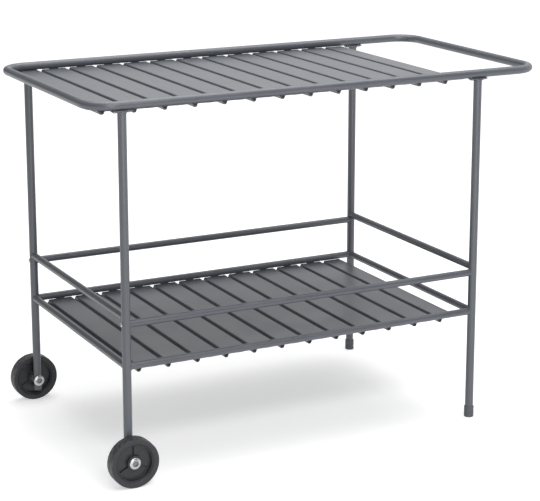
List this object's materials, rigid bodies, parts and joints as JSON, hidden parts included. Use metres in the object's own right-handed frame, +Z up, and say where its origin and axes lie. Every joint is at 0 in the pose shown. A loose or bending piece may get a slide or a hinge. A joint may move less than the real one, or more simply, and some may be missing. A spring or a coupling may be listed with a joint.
{
  "type": "serving trolley",
  "caption": "Two-tier tubular steel serving cart with grooved metal decks, guard rails, a pull-handle loop, wheels at one end and feet at the other.",
  "frame": {"origin": "on the floor, under the middle of the top loop", "axes": "+Z up, +X along the cart towards the pull handle, +Y towards its back side"},
  "size_m": [1.119, 0.6462, 0.8295],
  "materials": {
    "powder_coat": "satin anthracite powder coat, fine texture",
    "bright_steel": "bright zinc plate",
    "tyre_rubber": "matte moulded rubber",
    "black_plastic": "satin moulded plastic",
    "grey_plastic": "satin moulded plastic",
    "nylon": "natural nylon"
  },
  "bodies": {
    "cart": {"top_frame_loop": "powder_coat", "top_deck": "powder_coat", "shelf_deck": "powder_coat", "leg_front_left": "powder_coat", "leg_back_left": "powder_coat", "leg_front_right": "powder_coat", "leg_back_right": "powder_coat", "leg_plate_front_left": "powder_coat", "leg_plate_back_left": "powder_coat", "leg_plate_front_right": "powder_coat", "leg_plate_back_right": "powder_coat", "shelf_rail_front": "powder_coat", "shelf_rail_back": "powder_coat", "shelf_rail_left": "powder_coat", "shelf_rail_right": "powder_coat", "guard_rail_front": "powder_coat", "guard_rail_back": "powder_coat", "guard_rail_left": "powder_coat", "guard_rail_right": "powder_coat", "plate_screw_front_left_a": "bright_steel", "plate_screw_front_left_b": "bright_steel", "plate_screw_back_left_a": "bright_steel", "plate_screw_back_left_b": "bright_steel", "plate_screw_front_right_a": "bright_steel", "plate_screw_front_right_b": "bright_steel", "plate_screw_back_right_a": "bright_steel", "plate_screw_back_right_b": "bright_steel", "guard_bolt_front_left": "bright_steel", "guard_bolt_back_left": "bright_steel", "guard_insert_front_left": "bright_steel", "guard_insert_back_left": "bright_steel", "front_axle_bolt": "bright_steel", "front_axle_nut": "bright_steel", "front_wheel_spacer": "bright_steel", "back_axle_bolt": "bright_steel", "back_axle_nut": "bright_steel", "back_wheel_spacer": "bright_steel", "leg_end_plug_front_left": "black_plastic", "leg_end_plug_back_left": "black_plastic", "foot_cap_front_right": "grey_plastic", "foot_cap_back_right": "grey_plastic"},
    "front_wheel": {"front_tyre": "tyre_rubber", "front_wheel_rim": "black_plastic", "front_wheel_bush": "nylon"},
    "back_wheel": {"back_tyre": "tyre_rubber", "back_wheel_rim": "black_plastic", "back_wheel_bush": "nylon"}
  },
  "joints": [
    {"name": "front_wheel_spin", "type": "hinge", "parent": "cart", "child": "front_wheel", "pos_m": [-0.485, -0.3091, 0.055], "axis": [0, 1, 0], "continuous": true},
    {"name": "back_wheel_spin", "type": "hinge", "parent": "cart", "child": "back_wheel", "pos_m": [-0.485, 0.3091, 0.055], "axis": [0, 1, 0], "continuous": true}
  ]
}
